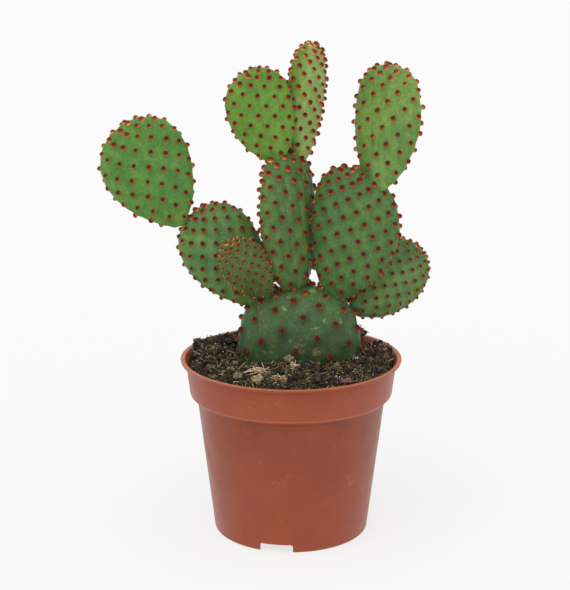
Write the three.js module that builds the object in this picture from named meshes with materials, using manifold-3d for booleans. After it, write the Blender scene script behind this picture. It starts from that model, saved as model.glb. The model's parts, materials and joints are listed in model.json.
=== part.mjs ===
// Potted paddle cactus in a 12 cm nursery pot. Millimetres, +Z up, the front faces -Y.
// The pot stands on z = 0. The whole part is centred on the origin, so the pot's axis lies at POT_X.
import * as THREE from "three";
import { ConvexGeometry } from "three/addons/geometries/ConvexGeometry.js";
import { mergeVertices } from "three/addons/utils/BufferGeometryUtils.js";
import Module from "manifold-3d";

const wasm = await Module();
wasm.setup();

// ---- Driving dimensions ----

const POT_X = 12.5; // the plant reaches further to the left than to the right
const GAP = 0.3; // clearance between pieces that touch
const POT_SEGMENTS = 60;
const SOIL_SEGMENTS = 48;

const POT = {
  height: 96.5,
  wall: 1.5,
  footRadius: 42,
  footHeight: 4, // the floor is raised by this much
  footWidth: 1.6,
  shoulderRadius: 51, // top of the tapered body
  shoulderZ: 74.2,
  bandFootRadius: 55, // bottom of the stepped-out band
  bandFootZ: 77.6,
  bandTopRadius: 57,
  lipZ: 94,
  lipRadius: 60,
};

const NOTCHES = { count: 3, width: 18, height: 4.5, firstAngle: -101 };
const DRAIN_HOLES = { count: 8, radius: 3.5, ringRadius: 26 };

const SOIL_LEVEL = 94.5;
const SOIL_EDGE_DROP = 2; // the soil sinks towards the wall

// Rounded heaps on the soil: where, how high above the level, and how wide.
const HEAPS = [
  { x: -38, y: 28, height: 9, spread: 13 },
  { x: 42, y: 24, height: 9, spread: 10 },
  { x: 4, y: 42, height: 7, spread: 16 },
  { x: -52, y: 6, height: 4, spread: 9 },
  { x: -2, y: -20, height: 2.5, spread: 9 },
];

// Pads, each after the one it grows on. foot: where it starts; lean: to the right; nod: forwards;
// turn: about its own length; egg: how much wider the upper half is; bow: sideways bulge;
// fullness: below 1 is blunter at both ends, above 1 is more pointed.
const PADS = {
  base_pad: {
    foot: [4.5, 8, 67], lean: 0, nod: 0, turn: 0,
    length: 66, width: 66, thickness: 36, egg: 0.06, bow: 0, fullness: 0.77, colour: 0x456b46,
  },
  middle_pad: {
    foot: [2, 8, 132.5], lean: -4, nod: 0, turn: 50,
    length: 72, width: 38, thickness: 17, egg: 0.1, bow: -1, fullness: 0.7, colour: 0x4f7f48,
  },
  middle_left_top_pad: {
    foot: [-8, 2, 204], lean: -14, nod: 6, turn: 0,
    length: 49, width: 34.5, thickness: 11, egg: 0.2, bow: -1.5, fullness: 0.95, colour: 0x65a045,
  },
  middle_edge_top_pad: {
    foot: [5, 13, 202], lean: 5, nod: -2, turn: 60,
    length: 61, width: 32, thickness: 12, egg: 0.28, bow: -0.5, fullness: 1.1, colour: 0x66964e,
  },
  right_pad: {
    foot: [25, 5, 129], lean: 5.5, nod: 4, turn: -12,
    length: 71, width: 46.5, thickness: 16, egg: 0.16, bow: 5.5, fullness: 0.97, colour: 0x4c7a48,
  },
  right_top_pad: {
    foot: [45, 3, 188.5], lean: 5, nod: 0, turn: -45,
    length: 65, width: 43, thickness: 13, egg: 0.21, bow: 2.5, fullness: 1.03, colour: 0x669a4c,
  },
  right_back_pad: {
    foot: [35, 13, 118.5], lean: 46.5, nod: -8, turn: 0,
    length: 49, width: 36.5, thickness: 13, egg: 0.13, bow: 0, fullness: 1.01, colour: 0x4f7d49,
  },
  left_pad: {
    foot: [-17.5, 7, 125.5], lean: -33.5, nod: -4, turn: 5,
    length: 59.5, width: 41.5, thickness: 14, egg: 0.26, bow: -1, fullness: 1.01, colour: 0x527f49,
  },
  left_top_pad: {
    foot: [-59.5, 6, 168], lean: -25.5, nod: 0, turn: 5,
    length: 60, width: 47, thickness: 13, egg: 0.27, bow: -2, fullness: 1.06, colour: 0x619a4b,
  },
  left_front_young_pad: {
    foot: [-13, -5, 132.5], lean: -35, nod: 12, turn: 15,
    length: 37, width: 24.5, thickness: 10, egg: 0.13, bow: 0.5, fullness: 1.08, colour: 0x5a8a4a,
  },
};

// Loose pieces lying on the soil: where, their size, their turn and their colour.
const LOOSE_PIECES = {
  bark_chip: { x: 28.5, y: -42, size: [10, 6, 2.6], turn: 25, colour: 0x7a4a42 },
  fibre_lump: { x: -17.5, y: -44, size: [9, 8, 5], turn: 10, colour: 0x8a7350 },
  straw_knot: { x: 1, y: -24.5, size: [8, 6, 4.5], turn: 60, colour: 0xa98c5c },
  straw_wisp: { x: -6, y: -41, size: [9, 5, 3.5], turn: -15, colour: 0x9a7a45 },
  straw_tangle: { x: -17.5, y: -28, size: [12, 6, 4], turn: 5, colour: 0x8c7048 },
  grey_pebble: { x: -28, y: -35, size: [6, 5, 4], turn: 40, colour: 0x6b6250 },
  front_pebble: { x: -1, y: -15.5, size: [7, 5, 5], turn: 0, colour: 0x77705c },
  dark_lump_left: { x: -49, y: 14, size: [9, 8, 6], turn: 30, colour: 0x2b2622 },
  dark_lump_front: { x: 15, y: -44, size: [8, 6, 5], turn: -30, colour: 0x2d2a26 },
};

// ---- Solids: meshes joined and cut by manifold-3d ----

function toSolid(geometry) {
  const bare = geometry.clone();
  bare.deleteAttribute("normal");
  bare.deleteAttribute("uv");
  const merged = mergeVertices(bare, 1e-4);
  return new wasm.Manifold(
    new wasm.Mesh({
      numProp: 3,
      vertProperties: new Float32Array(merged.attributes.position.array),
      triVerts: new Uint32Array(merged.index.array),
    }),
  );
}

function toGeometry(solid) {
  const mesh = solid.getMesh();
  const geometry = new THREE.BufferGeometry();
  geometry.setAttribute("position", new THREE.BufferAttribute(mesh.vertProperties, 3));
  geometry.setIndex(new THREE.BufferAttribute(mesh.triVerts, 1));
  geometry.computeVertexNormals();
  return geometry;
}

const group = new THREE.Group();
group.position.x = POT_X;

function addMesh(name, geometry, look) {
  const mesh = new THREE.Mesh(geometry, new THREE.MeshStandardMaterial({ metalness: 0, ...look }));
  mesh.name = name;
  group.add(mesh);
}

// ---- Pot ----

// Radius of the body's outer wall, from the foot to the shoulder.
function bodyRadius(z) {
  return THREE.MathUtils.mapLinear(z, 0, POT.shoulderZ, POT.footRadius, POT.shoulderRadius);
}

// A LatheGeometry turns about Y, so it is stood up on Z.
function lathe(points, segments) {
  const outline = points.map(([r, z]) => new THREE.Vector2(r, z));
  return new THREE.LatheGeometry(outline, segments).rotateX(Math.PI / 2);
}

function makePot() {
  const floorTop = POT.footHeight + POT.wall;
  const footInside = POT.footRadius - POT.footWidth;
  const profile = [
    [0, floorTop],
    [bodyRadius(floorTop) - POT.wall - 1, floorTop],
    [bodyRadius(floorTop + 1) - POT.wall, floorTop + 1],
    [POT.shoulderRadius - POT.wall, POT.shoulderZ + 0.6],
    [POT.bandFootRadius - POT.wall, POT.bandFootZ + 0.6],
    [POT.bandTopRadius - POT.wall, POT.lipZ],
    [POT.lipRadius - 2.2, POT.height - 0.1],
    [POT.lipRadius - 1, POT.height],
    [POT.lipRadius, POT.height - 0.8],
    [POT.lipRadius - 0.2, POT.lipZ + 0.6],
    [POT.bandTopRadius, POT.lipZ - 0.4],
    [POT.bandFootRadius, POT.bandFootZ],
    [POT.bandFootRadius - 0.6, POT.bandFootZ - 0.6],
    [POT.shoulderRadius, POT.shoulderZ],
    [POT.footRadius, 0.6],
    [POT.footRadius - 0.2, 0],
    [footInside, 0],
    [footInside, POT.footHeight],
    [0, POT.footHeight],
  ];
  let solid = toSolid(lathe(profile.reverse(), POT_SEGMENTS));
  for (let i = 0; i < NOTCHES.count; i++) {
    const angle = THREE.MathUtils.degToRad(NOTCHES.firstAngle + (360 / NOTCHES.count) * i);
    const notch = new THREE.BoxGeometry(8, NOTCHES.width, 2 * NOTCHES.height);
    notch.translate(POT.footRadius, 0, 0).rotateZ(angle);
    solid = solid.subtract(toSolid(notch));
  }
  for (let i = 0; i < DRAIN_HOLES.count; i++) {
    const hole = new THREE.CylinderGeometry(DRAIN_HOLES.radius, DRAIN_HOLES.radius, 6, 20);
    hole.rotateX(Math.PI / 2).translate(DRAIN_HOLES.ringRadius, 0, POT.footHeight + POT.wall / 2);
    hole.rotateZ((2 * Math.PI * i) / DRAIN_HOLES.count);
    solid = solid.subtract(toSolid(hole));
  }
  return toGeometry(solid);
}

// ---- Pads ----

// Half width of a pad as a share of its widest, from the foot (angle 0) to the tip (angle PI).
function padShare(pad, angle) {
  return Math.sin(angle) ** pad.fullness * (1 - pad.egg * Math.cos(angle));
}

// Rings of points from foot to tip, flattened front to back, with one point at each end.
function padGeometry(pad, swell = 0) {
  const rings = 14;
  const around = 24;
  const angles = Array.from({ length: rings - 1 }, (_, i) => ((i + 1) / rings) * Math.PI);
  const widest = Math.max(...angles.map((a) => padShare(pad, a)));
  const length = pad.length + 2 * swell;
  const points = [[0, 0, -swell]];
  for (const a of angles) {
    const share = padShare(pad, a) / widest;
    for (let i = 0; i < around; i++) {
      const u = (2 * Math.PI * i) / around;
      const x = Math.cos(u) * share * (pad.width / 2 + swell) + pad.bow * Math.sin(a) ** 2;
      const y = Math.sin(u) * share ** 0.8 * (pad.thickness / 2 + swell);
      points.push([x, y, (length * (1 - Math.cos(a))) / 2 - swell]);
    }
  }
  points.push([0, 0, pad.length + swell]);
  const faces = [];
  const tip = points.length - 1;
  for (let i = 0; i < around; i++) {
    const next = (i + 1) % around;
    faces.push(0, 1 + next, 1 + i);
    for (let ring = 0; ring < rings - 2; ring++) {
      const low = 1 + ring * around;
      const high = low + around;
      faces.push(low + i, low + next, high + next);
      faces.push(low + i, high + next, high + i);
    }
    const last = tip - around;
    faces.push(last + i, last + next, tip);
  }
  const geometry = new THREE.BufferGeometry();
  geometry.setAttribute("position", new THREE.Float32BufferAttribute(points.flat(), 3));
  geometry.setIndex(faces);
  geometry.rotateZ(THREE.MathUtils.degToRad(pad.turn));
  geometry.rotateX(THREE.MathUtils.degToRad(pad.nod));
  geometry.rotateY(THREE.MathUtils.degToRad(pad.lean));
  return geometry.translate(...pad.foot);
}

// Each pad gives way to the pads before it: the one it grows on, and any it presses against.
function addPads() {
  const before = [];
  for (const [name, pad] of Object.entries(PADS)) {
    let solid = toSolid(padGeometry(pad));
    for (const other of before) solid = solid.subtract(other);
    before.push(toSolid(padGeometry(pad, GAP)));
    addMesh(name, toGeometry(solid), { color: pad.colour, roughness: 0.62 });
  }
}

// ---- Soil ----

function soilHeight(x, y) {
  const r = Math.hypot(x, y);
  const edge = THREE.MathUtils.smoothstep(r, 44, 55);
  const heaps = HEAPS.reduce((sum, heap) => {
    const away = Math.hypot(x - heap.x, y - heap.y) / heap.spread;
    return sum + heap.height * Math.exp(-away * away);
  }, 0);
  return SOIL_LEVEL + heaps * (1 - 0.6 * edge) - SOIL_EDGE_DROP * edge;
}

// A plug that fills the pot, its top raised into heaps, with a socket for the base pad's foot.
function makeSoil() {
  const floorZ = POT.footHeight + POT.wall + GAP;
  const inside = POT.wall + GAP;
  const topRings = 8;
  const topRadius = POT.bandTopRadius - 0.4 - inside;
  const profile = [
    [0, floorZ],
    [bodyRadius(floorZ) - inside - 1.4, floorZ],
    [bodyRadius(floorZ + 1.4) - inside, floorZ + 1.4],
    [POT.shoulderRadius - inside, POT.shoulderZ + 1],
    [POT.bandFootRadius - inside, POT.bandFootZ + 1.2],
  ];
  for (let i = topRings; i >= 0; i--) profile.push([(topRadius * i) / topRings, SOIL_LEVEL]);
  const plug = lathe(profile, SOIL_SEGMENTS);
  const at = plug.attributes.position;
  for (let i = 0; i < at.count; i++) {
    if (at.getZ(i) > SOIL_LEVEL - 0.1) at.setZ(i, soilHeight(at.getX(i), at.getY(i)));
  }
  return toGeometry(toSolid(plug).subtract(toSolid(padGeometry(PADS.base_pad, GAP))));
}

// ---- Loose pieces ----

// An uneven many-sided lump: points spread evenly over a ball, pulled in and out, then flattened.
function lumpGeometry(piece) {
  const [length, width, height] = piece.size;
  const corners = 16;
  const points = Array.from({ length: corners }, (_, i) => {
    const level = 1 - (2 * (i + 0.5)) / corners;
    const ring = Math.sqrt(1 - level * level);
    const angle = i * 2.4;
    const pull = 0.5 * (1 + 0.16 * Math.sin(3.1 * i + piece.x));
    const x = Math.cos(angle) * ring * pull * length;
    const y = Math.sin(angle) * ring * pull * width;
    return new THREE.Vector3(x, y, level * pull * height);
  });
  return new ConvexGeometry(points).rotateZ(THREE.MathUtils.degToRad(piece.turn));
}

// The piece comes down until its lowest corner would touch the soil under it.
function restOnSoil(geometry, piece) {
  const at = geometry.attributes.position;
  let rise = -Infinity;
  for (let i = 0; i < at.count; i++) {
    const ground = soilHeight(at.getX(i) + piece.x, at.getY(i) + piece.y);
    rise = Math.max(rise, ground - at.getZ(i));
  }
  return geometry.translate(piece.x, piece.y, rise + 1.5 * GAP);
}

addMesh("pot", makePot(), { color: 0x9b503a, roughness: 0.42 });
addMesh("soil", makeSoil(), { color: 0x3a2f26, roughness: 1 });
addPads();
for (const [name, piece] of Object.entries(LOOSE_PIECES)) {
  const geometry = restOnSoil(lumpGeometry(piece), piece);
  addMesh(name, geometry, { color: piece.colour, roughness: 0.9 });
}

export default group;
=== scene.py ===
# %% [markdown]
# # A potted paddle cactus
# The plant is a chain of flat, fleshy pads. Each pad carries a spiral of small bristle tufts.
# One thick old pad is the trunk, and it stands in a plastic nursery pot full of peat.
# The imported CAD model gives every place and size. This notebook builds the looks on top of it:
# pot, soil, loose litter, pads and tufts, in that order, each in its own cells.

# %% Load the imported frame
import json
import math
import random

import bmesh
import bpy
import numpy as np
from mathutils import Matrix, Vector, noise

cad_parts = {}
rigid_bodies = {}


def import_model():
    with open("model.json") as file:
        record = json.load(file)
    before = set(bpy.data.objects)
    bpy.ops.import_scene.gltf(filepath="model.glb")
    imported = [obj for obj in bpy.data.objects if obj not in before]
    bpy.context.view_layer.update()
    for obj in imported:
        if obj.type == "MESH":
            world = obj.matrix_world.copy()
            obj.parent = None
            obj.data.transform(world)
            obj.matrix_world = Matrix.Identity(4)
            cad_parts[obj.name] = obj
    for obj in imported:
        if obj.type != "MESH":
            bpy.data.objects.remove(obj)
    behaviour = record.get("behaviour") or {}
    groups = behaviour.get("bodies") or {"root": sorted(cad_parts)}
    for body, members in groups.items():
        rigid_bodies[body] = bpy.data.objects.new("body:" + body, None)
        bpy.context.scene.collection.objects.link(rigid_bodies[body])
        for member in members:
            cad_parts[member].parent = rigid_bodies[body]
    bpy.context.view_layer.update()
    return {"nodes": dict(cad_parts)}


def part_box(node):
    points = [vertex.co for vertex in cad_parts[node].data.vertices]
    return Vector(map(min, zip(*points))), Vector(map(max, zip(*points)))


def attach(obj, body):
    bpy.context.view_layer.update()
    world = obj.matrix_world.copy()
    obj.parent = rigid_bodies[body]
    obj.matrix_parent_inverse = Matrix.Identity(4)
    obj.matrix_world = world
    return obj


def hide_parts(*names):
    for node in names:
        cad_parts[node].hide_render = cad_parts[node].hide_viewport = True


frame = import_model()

MM = 0.001
pot_low, pot_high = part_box("pot")
POT_X = (pot_low[0] + pot_high[0]) / 2
print("pot axis at x =", round(POT_X, 4), "m, nodes:", len(frame["nodes"]))

# %% [markdown]
# ## Camera and light
# The plant is seen from a little above, from far enough away that the pads keep their shapes.
# A white room with broad, soft lamps is the usual way to show a plant: it leaves no hard shadow,
# and its reflection gives the waxy skin and the plastic pot their pale edges.

# %% Camera
CAMERA_DISTANCE = 0.800
CAMERA_HEIGHT = 0.341
CAMERA_TILT = 14.72  # degrees down
FOCAL_LENGTH = 93.97  # millimetres, on a 36 mm frame

camera_data = bpy.data.cameras.new("camera")
camera_data.lens = FOCAL_LENGTH
camera_data.sensor_width = 36
camera = bpy.data.objects.new("camera", camera_data)
camera.location = (POT_X - 0.0033, -CAMERA_DISTANCE, CAMERA_HEIGHT)
camera.rotation_euler = (math.radians(90 - CAMERA_TILT), 0, 0)
scene = bpy.context.scene
scene.collection.objects.link(camera)
scene.camera = camera
print("camera at", tuple(round(v, 4) for v in camera.location), "looking down", CAMERA_TILT, "degrees")

# %% [markdown]
# ### Node trees
# Materials and Geometry Nodes are both trees of nodes, and building one in code takes three lines a
# node. A few small helpers make it read like a sum instead: each adds one node, sets or links its
# inputs, and gives back the output to pass on.

# %% Helpers for any node tree
def add(tree, kind, ins=None, **settings):
    """One node. ins sets its inputs, by name or number, from a socket or a plain value."""
    made = tree.nodes.new(kind)
    for name, value in settings.items():
        setattr(made, name, value)
    for key, value in (ins or {}).items():
        if isinstance(value, bpy.types.NodeSocket):
            tree.links.new(value, made.inputs[key])
        else:
            made.inputs[key].default_value = value
    return made


def math_node(tree, operation, first, second=0.0, clamp=False):
    made = add(tree, "ShaderNodeMath", {0: first, 1: second}, operation=operation, use_clamp=clamp)
    return made.outputs[0]


def times(tree, first, second):
    return math_node(tree, "MULTIPLY", first, second)


def plus(tree, first, second, clamp=False):
    return math_node(tree, "ADD", first, second, clamp)


def minus(tree, first, second, clamp=False):
    return math_node(tree, "SUBTRACT", first, second, clamp)


def vector(tree, x=0.0, y=0.0, z=0.0):
    return add(tree, "ShaderNodeCombineXYZ", {"X": x, "Y": y, "Z": z}).outputs[0]


def vector_math(tree, operation, first, second=(0, 0, 0)):
    """Works on two vectors. DISTANCE and LENGTH give a number, the others a vector."""
    made = add(tree, "ShaderNodeVectorMath", {0: first, 1: second}, operation=operation)
    return made.outputs["Value" if operation in ("DISTANCE", "LENGTH") else "Vector"]

# %% Helpers for materials
def srgb(red, green, blue):
    """A colour as painters name it, 0 to 255, turned into linear light."""
    shares = [c / 255 for c in (red, green, blue)]
    return [c / 12.92 if c <= 0.04045 else ((c + 0.055) / 1.055) ** 2.4 for c in shares] + [1]


def new_material(name, values=None):
    """A material of one Principled shader with these plain values. Returns it, its tree and shader."""
    material = bpy.data.materials.new(name)
    material.use_nodes = True
    tree = material.node_tree
    tree.nodes.clear()
    shader = add(tree, "ShaderNodeBsdfPrincipled", values)
    add(tree, "ShaderNodeOutputMaterial", {"Surface": shader.outputs[0]})
    return material, tree, shader


def ramp(tree, factor, *stops):
    """A colour ramp with stops of (place, colour), driven by factor."""
    made = add(tree, "ShaderNodeValToRGB", {"Fac": factor})
    elements = made.color_ramp.elements
    while len(elements) < len(stops):
        elements.new(0.5)
    for element, (place, colour) in zip(elements, stops):
        element.position = place
        element.color = colour
    return made.outputs["Color"]


def grey(value):
    return (value, value, value, 1)


def rise(tree, factor, low, high):
    """Black up to low, white from high on: it turns a noise into separate marks."""
    return ramp(tree, factor, (low, grey(0)), (high, grey(1)))


def mix(tree, factor, first, second, blend="MIX"):
    made = add(tree, "ShaderNodeMix", {0: factor, 6: first, 7: second}, data_type="RGBA", blend_type=blend)
    return made.outputs[2]


def multiply(tree, first, second):
    """Two colours multiplied, to lighten or darken one by the other."""
    return mix(tree, 1.0, first, second, "MULTIPLY")


def grain(tree, scale, detail=3.0, roughness=0.55, stretch=(1, 1, 1), distortion=0.0):
    """Noise in Object coordinates; scale is in features per metre."""
    place = add(tree, "ShaderNodeTexCoord").outputs["Object"]
    place = add(tree, "ShaderNodeMapping", {"Vector": place, "Scale": stretch}).outputs[0]
    return add(tree, "ShaderNodeTexNoise", {
        "Vector": place, "Scale": scale, "Detail": detail, "Roughness": roughness, "Distortion": distortion,
    }).outputs["Fac"]


def attribute(tree, name):
    return add(tree, "ShaderNodeAttribute", attribute_name=name).outputs["Fac"]


def bump(tree, height, strength, distance, normal=None):
    ins = {"Height": height, "Strength": strength, "Distance": distance}
    if normal:
        ins["Normal"] = normal
    return add(tree, "ShaderNodeBump", ins).outputs[0]

# %% Room: world, lamps and floor
ROOM_BRIGHTNESS = 0.80
FLOOR_REFLECTS, FLOOR_GLOWS = 0.22, 0.72  # a floor that glows a little stays white under the pot
FLOOR_HALF, FLOOR_DROP = 9.0, 0.0002

world = bpy.data.worlds.new("white room")
world.use_nodes = True
background = world.node_tree.nodes["Background"]
background.inputs["Color"].default_value = grey(1)
background.inputs["Strength"].default_value = ROOM_BRIGHTNESS
scene.world = world
scene.view_settings.view_transform = "Standard"
scene.view_settings.look = "None"


def far_lamp(name, azimuth, elevation, strength, softness):
    """A broad lamp far away: azimuth in degrees from the camera's side, softness is its angle."""
    data = bpy.data.lights.new(name, "SUN")
    data.energy = strength
    data.angle = math.radians(softness)
    made = bpy.data.objects.new(name, data)
    made.rotation_euler = (math.radians(90 - elevation), 0, math.radians(azimuth))
    scene.collection.objects.link(made)


far_lamp("key", -35, 50, 1.0, 60)
far_lamp("fill", 50, 30, 0.35, 80)

floor_mesh = bpy.data.meshes.new("floor")
corners = [(x * FLOOR_HALF, y * FLOOR_HALF, -FLOOR_DROP) for x, y in ((-1, -1), (1, -1), (1, 1), (-1, 1))]
floor_mesh.from_pydata(corners, [], [(0, 1, 2, 3)])
floor = bpy.data.objects.new("floor", floor_mesh)
scene.collection.objects.link(floor)
floor_material = new_material("pale_floor", {
    "Base Color": grey(FLOOR_REFLECTS), "Emission Color": grey(1), "Emission Strength": FLOOR_GLOWS,
    "Roughness": 0.9, "Specular IOR Level": 0.0,
})[0]
floor_mesh.materials.append(floor_material)

# %% Helpers for pieces
def mesh_object(name, points, faces, material=None, smooth=True):
    """A mesh object at the origin, with its place in its points (metres)."""
    data = bpy.data.meshes.new(name)
    data.from_pydata([tuple(p) for p in points], [], faces)
    data.validate()
    if smooth:
        data.shade_smooth()
    if material:
        data.materials.append(material)
    made = bpy.data.objects.new(name, data)
    scene.collection.objects.link(made)
    return made


def store(data, name, values):
    """A number for each vertex, for a material or a node tree to read."""
    data.attributes.new(name, "FLOAT", "POINT").data.foreach_set("value", np.asarray(values, np.float32))


def store_vectors(data, name, vectors):
    flat = np.asarray(vectors, np.float32).ravel()
    data.attributes.new(name, "FLOAT_VECTOR", "POINT").data.foreach_set("vector", flat)


def ring_faces(rings, around, first, last, start=0, outward=True):
    """Faces of a closed shell: rings of vertices from start on, and a vertex at each end."""
    faces = []
    top = start + (rings - 1) * around
    for k in range(around):
        n = (k + 1) % around
        faces.append((first, start + n, start + k) if outward else (first, start + k, start + n))
        for low in range(start, top, around):
            high = low + around
            quad = (low + k, low + n, high + n, high + k)
            faces.append(quad if outward else (quad[0], *quad[:0:-1]))
        faces.append((last, top + k, top + n) if outward else (last, top + n, top + k))
    return faces


def make_plain(host):
    """Turn an object's live modifiers into its own mesh."""
    depsgraph = bpy.context.evaluated_depsgraph_get()
    evaluated = host.evaluated_get(depsgraph)
    data = bpy.data.meshes.new_from_object(evaluated, preserve_all_data_layers=True, depsgraph=depsgraph)
    data.name = host.name
    host.modifiers.clear()
    host.data = data
    return host


def finish_piece(piece, slot, *nodes):
    """Ride on the one body and stand in for CAD nodes. slot is not used."""
    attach(piece, "root")
    if nodes:
        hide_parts(*nodes)
    print(f"{piece.name}: {len(piece.data.polygons)} faces")
    return piece

# %% [markdown]
# ## Pot
# The pot is thin plastic, moulded in one shot: a tapered wall, a stepped-out band that lets pots
# stack, and a thin flared lip. It is a surface of revolution, so its outline is drawn once, with
# each corner rounded by its own radius, and turned round the axis. The notches in the foot ring
# and the drain holes are then cut out of the finished shell with the Boolean modifier.

# %% Pot outline
POT_HEIGHT = 96.5
FOOT_RADIUS = 42.0
FLOOR_LEVEL = 4.0
WALL = 1.5
LEDGE_HEIGHT, BAND_FOOT = 74.8, 77.6
POT_AROUND = 180

# Corners of the section as (radius, height, rounding), from the floor's underside outwards.
POT_CORNERS = [
    (0, FLOOR_LEVEL - 0.7, 0), (2.2, FLOOR_LEVEL - 0.7, 0.3), (2.8, FLOOR_LEVEL, 0.3),
    (FOOT_RADIUS - 1.6, FLOOR_LEVEL, 0.5), (FOOT_RADIUS - 1.6, 0, 0.3), (FOOT_RADIUS + 0.1, 0, 0.9),
    (51, 74.0, 0.5), (54.9, 77.2, 0.9), (57, 94.2, 0.5), (59.6, 95.0, 0.5), (60, POT_HEIGHT, 0.75),
    (57.6, POT_HEIGHT, 0.75), (55.5, 93.6, 1.2), (53.4, 78.4, 0.8), (49.5, 75.0, 0.8),
    (41.0, 6.4, 0.6), (39.8, FLOOR_LEVEL + WALL, 0.4), (0, FLOOR_LEVEL + WALL, 0),
]


def rounded_outline(corners, steps=5):
    """Replace each corner by a short curve that starts and ends at the rounding's distance."""
    outline = []
    for i, (r, z, rounding) in enumerate(corners):
        here = np.array([r, z])
        if rounding == 0:
            outline.append(here)
            continue
        before = np.array(corners[i - 1][:2]) - here
        after = np.array(corners[i + 1][:2]) - here
        start = here + before / np.linalg.norm(before) * rounding
        end = here + after / np.linalg.norm(after) * rounding
        for t in np.linspace(0, 1, steps):
            outline.append((1 - t) ** 2 * start + 2 * t * (1 - t) * here + t * t * end)
    return outline


def circle(radius, around):
    turns = [2 * math.pi * k / around for k in range(around)]
    return [(radius * math.cos(turn), radius * math.sin(turn)) for turn in turns]


def revolve(name, outline, around):
    """Turn an outline that starts and ends on the axis into a closed shell about the pot's axis."""
    points = []
    rings = outline[1:-1]
    for r, z in rings:
        points += [(POT_X + x, y, z * MM) for x, y in circle(r * MM, around)]
    first, last = len(points), len(points) + 1
    points += [(POT_X, 0, outline[0][1] * MM), (POT_X, 0, outline[-1][1] * MM)]
    return mesh_object(name, points, ring_faces(len(rings), around, first, last))


pot = revolve("nursery_pot", rounded_outline(POT_CORNERS), POT_AROUND)
print("pot shell:", len(pot.data.polygons), "faces")

# %% Cut the foot notches and the drain holes
NOTCH_COUNT, NOTCH_WIDTH, NOTCH_HEIGHT, FIRST_NOTCH = 3, 18.0, 4.5, -101
NOTCH_CORNER = 1.2
HOLE_COUNT, HOLE_RADIUS, HOLE_RING = 8, 3.5, 26.0
CUTTER_DEPTH = 8.0
SHARP_FROM = 32  # degrees


def cutter_block(angle):
    """A block with rounded top corners, standing across the foot ring."""
    block = bmesh.new()
    bmesh.ops.create_cube(block, size=1)
    size = (CUTTER_DEPTH * MM, NOTCH_WIDTH * MM, 2 * NOTCH_HEIGHT * MM)
    bmesh.ops.scale(block, vec=size, verts=block.verts)
    along = [e for e in block.edges if abs((e.verts[0].co - e.verts[1].co).x) > size[0] / 2]
    bmesh.ops.bevel(block, geom=along, offset=NOTCH_CORNER * MM, segments=4, affect="EDGES", profile=0.5)
    turn = Matrix.Rotation(math.radians(angle), 4, "Z")
    move = Matrix.Translation((FOOT_RADIUS * MM, 0, 0))
    bmesh.ops.transform(block, matrix=Matrix.Translation((POT_X, 0, 0)) @ turn @ move, verts=block.verts)
    return block


def cutter_peg(angle):
    peg = bmesh.new()
    radius = HOLE_RADIUS * MM
    bmesh.ops.create_cone(
        peg, cap_ends=True, segments=28, radius1=radius, radius2=radius, depth=CUTTER_DEPTH * MM
    )
    x, y = HOLE_RING * MM * math.cos(angle), HOLE_RING * MM * math.sin(angle)
    bmesh.ops.translate(peg, vec=(POT_X + x, y, 5 * MM), verts=peg.verts)
    return peg


def cut(piece, cutter):
    data = bpy.data.meshes.new("cutter")
    cutter.to_mesh(data)
    cutter.free()
    tool = bpy.data.objects.new("cutter", data)
    scene.collection.objects.link(tool)
    boolean = piece.modifiers.new("cut", "BOOLEAN")
    boolean.operation = "DIFFERENCE"
    boolean.object = tool
    boolean.solver = "EXACT"
    make_plain(piece)
    bpy.data.objects.remove(tool)


for i in range(NOTCH_COUNT):
    cut(pot, cutter_block(FIRST_NOTCH + 360 / NOTCH_COUNT * i))
for i in range(HOLE_COUNT):
    cut(pot, cutter_peg(2 * math.pi * i / HOLE_COUNT))
pot.data.shade_smooth()
pot.data.set_sharp_from_angle(angle=math.radians(SHARP_FROM))

# %% [markdown]
# ### Terracotta coloured plastic
# The plastic is satin and evenly coloured, so the interest is in what use has done to it: a faint
# cloudiness from the mould, thin pale scuffs that run any way, a dusting of soil near the lip, and
# single specks of peat. Each is a thresholded noise of its own scale, laid over the base colour.
# On top of these, a painted shade darkens the wall under the band's ledge, and a painted highlight lightens
# the lip's top and the band's foot.

# %% Pot material
def thin_lines(tree, scale, width, distortion):
    """The thin, wandering lines where a slow noise crosses its middle value."""
    wander = grain(tree, scale, 2, 0.5, distortion=distortion)
    return ramp(tree, wander, (0.5 - width, grey(0)), (0.5, grey(1)), (0.5 + width, grey(0)))


def only_where(tree, marks, scale, low, high):
    """Keep marks only in patches."""
    return times(tree, marks, rise(tree, grain(tree, scale, 2), low, high))


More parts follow.
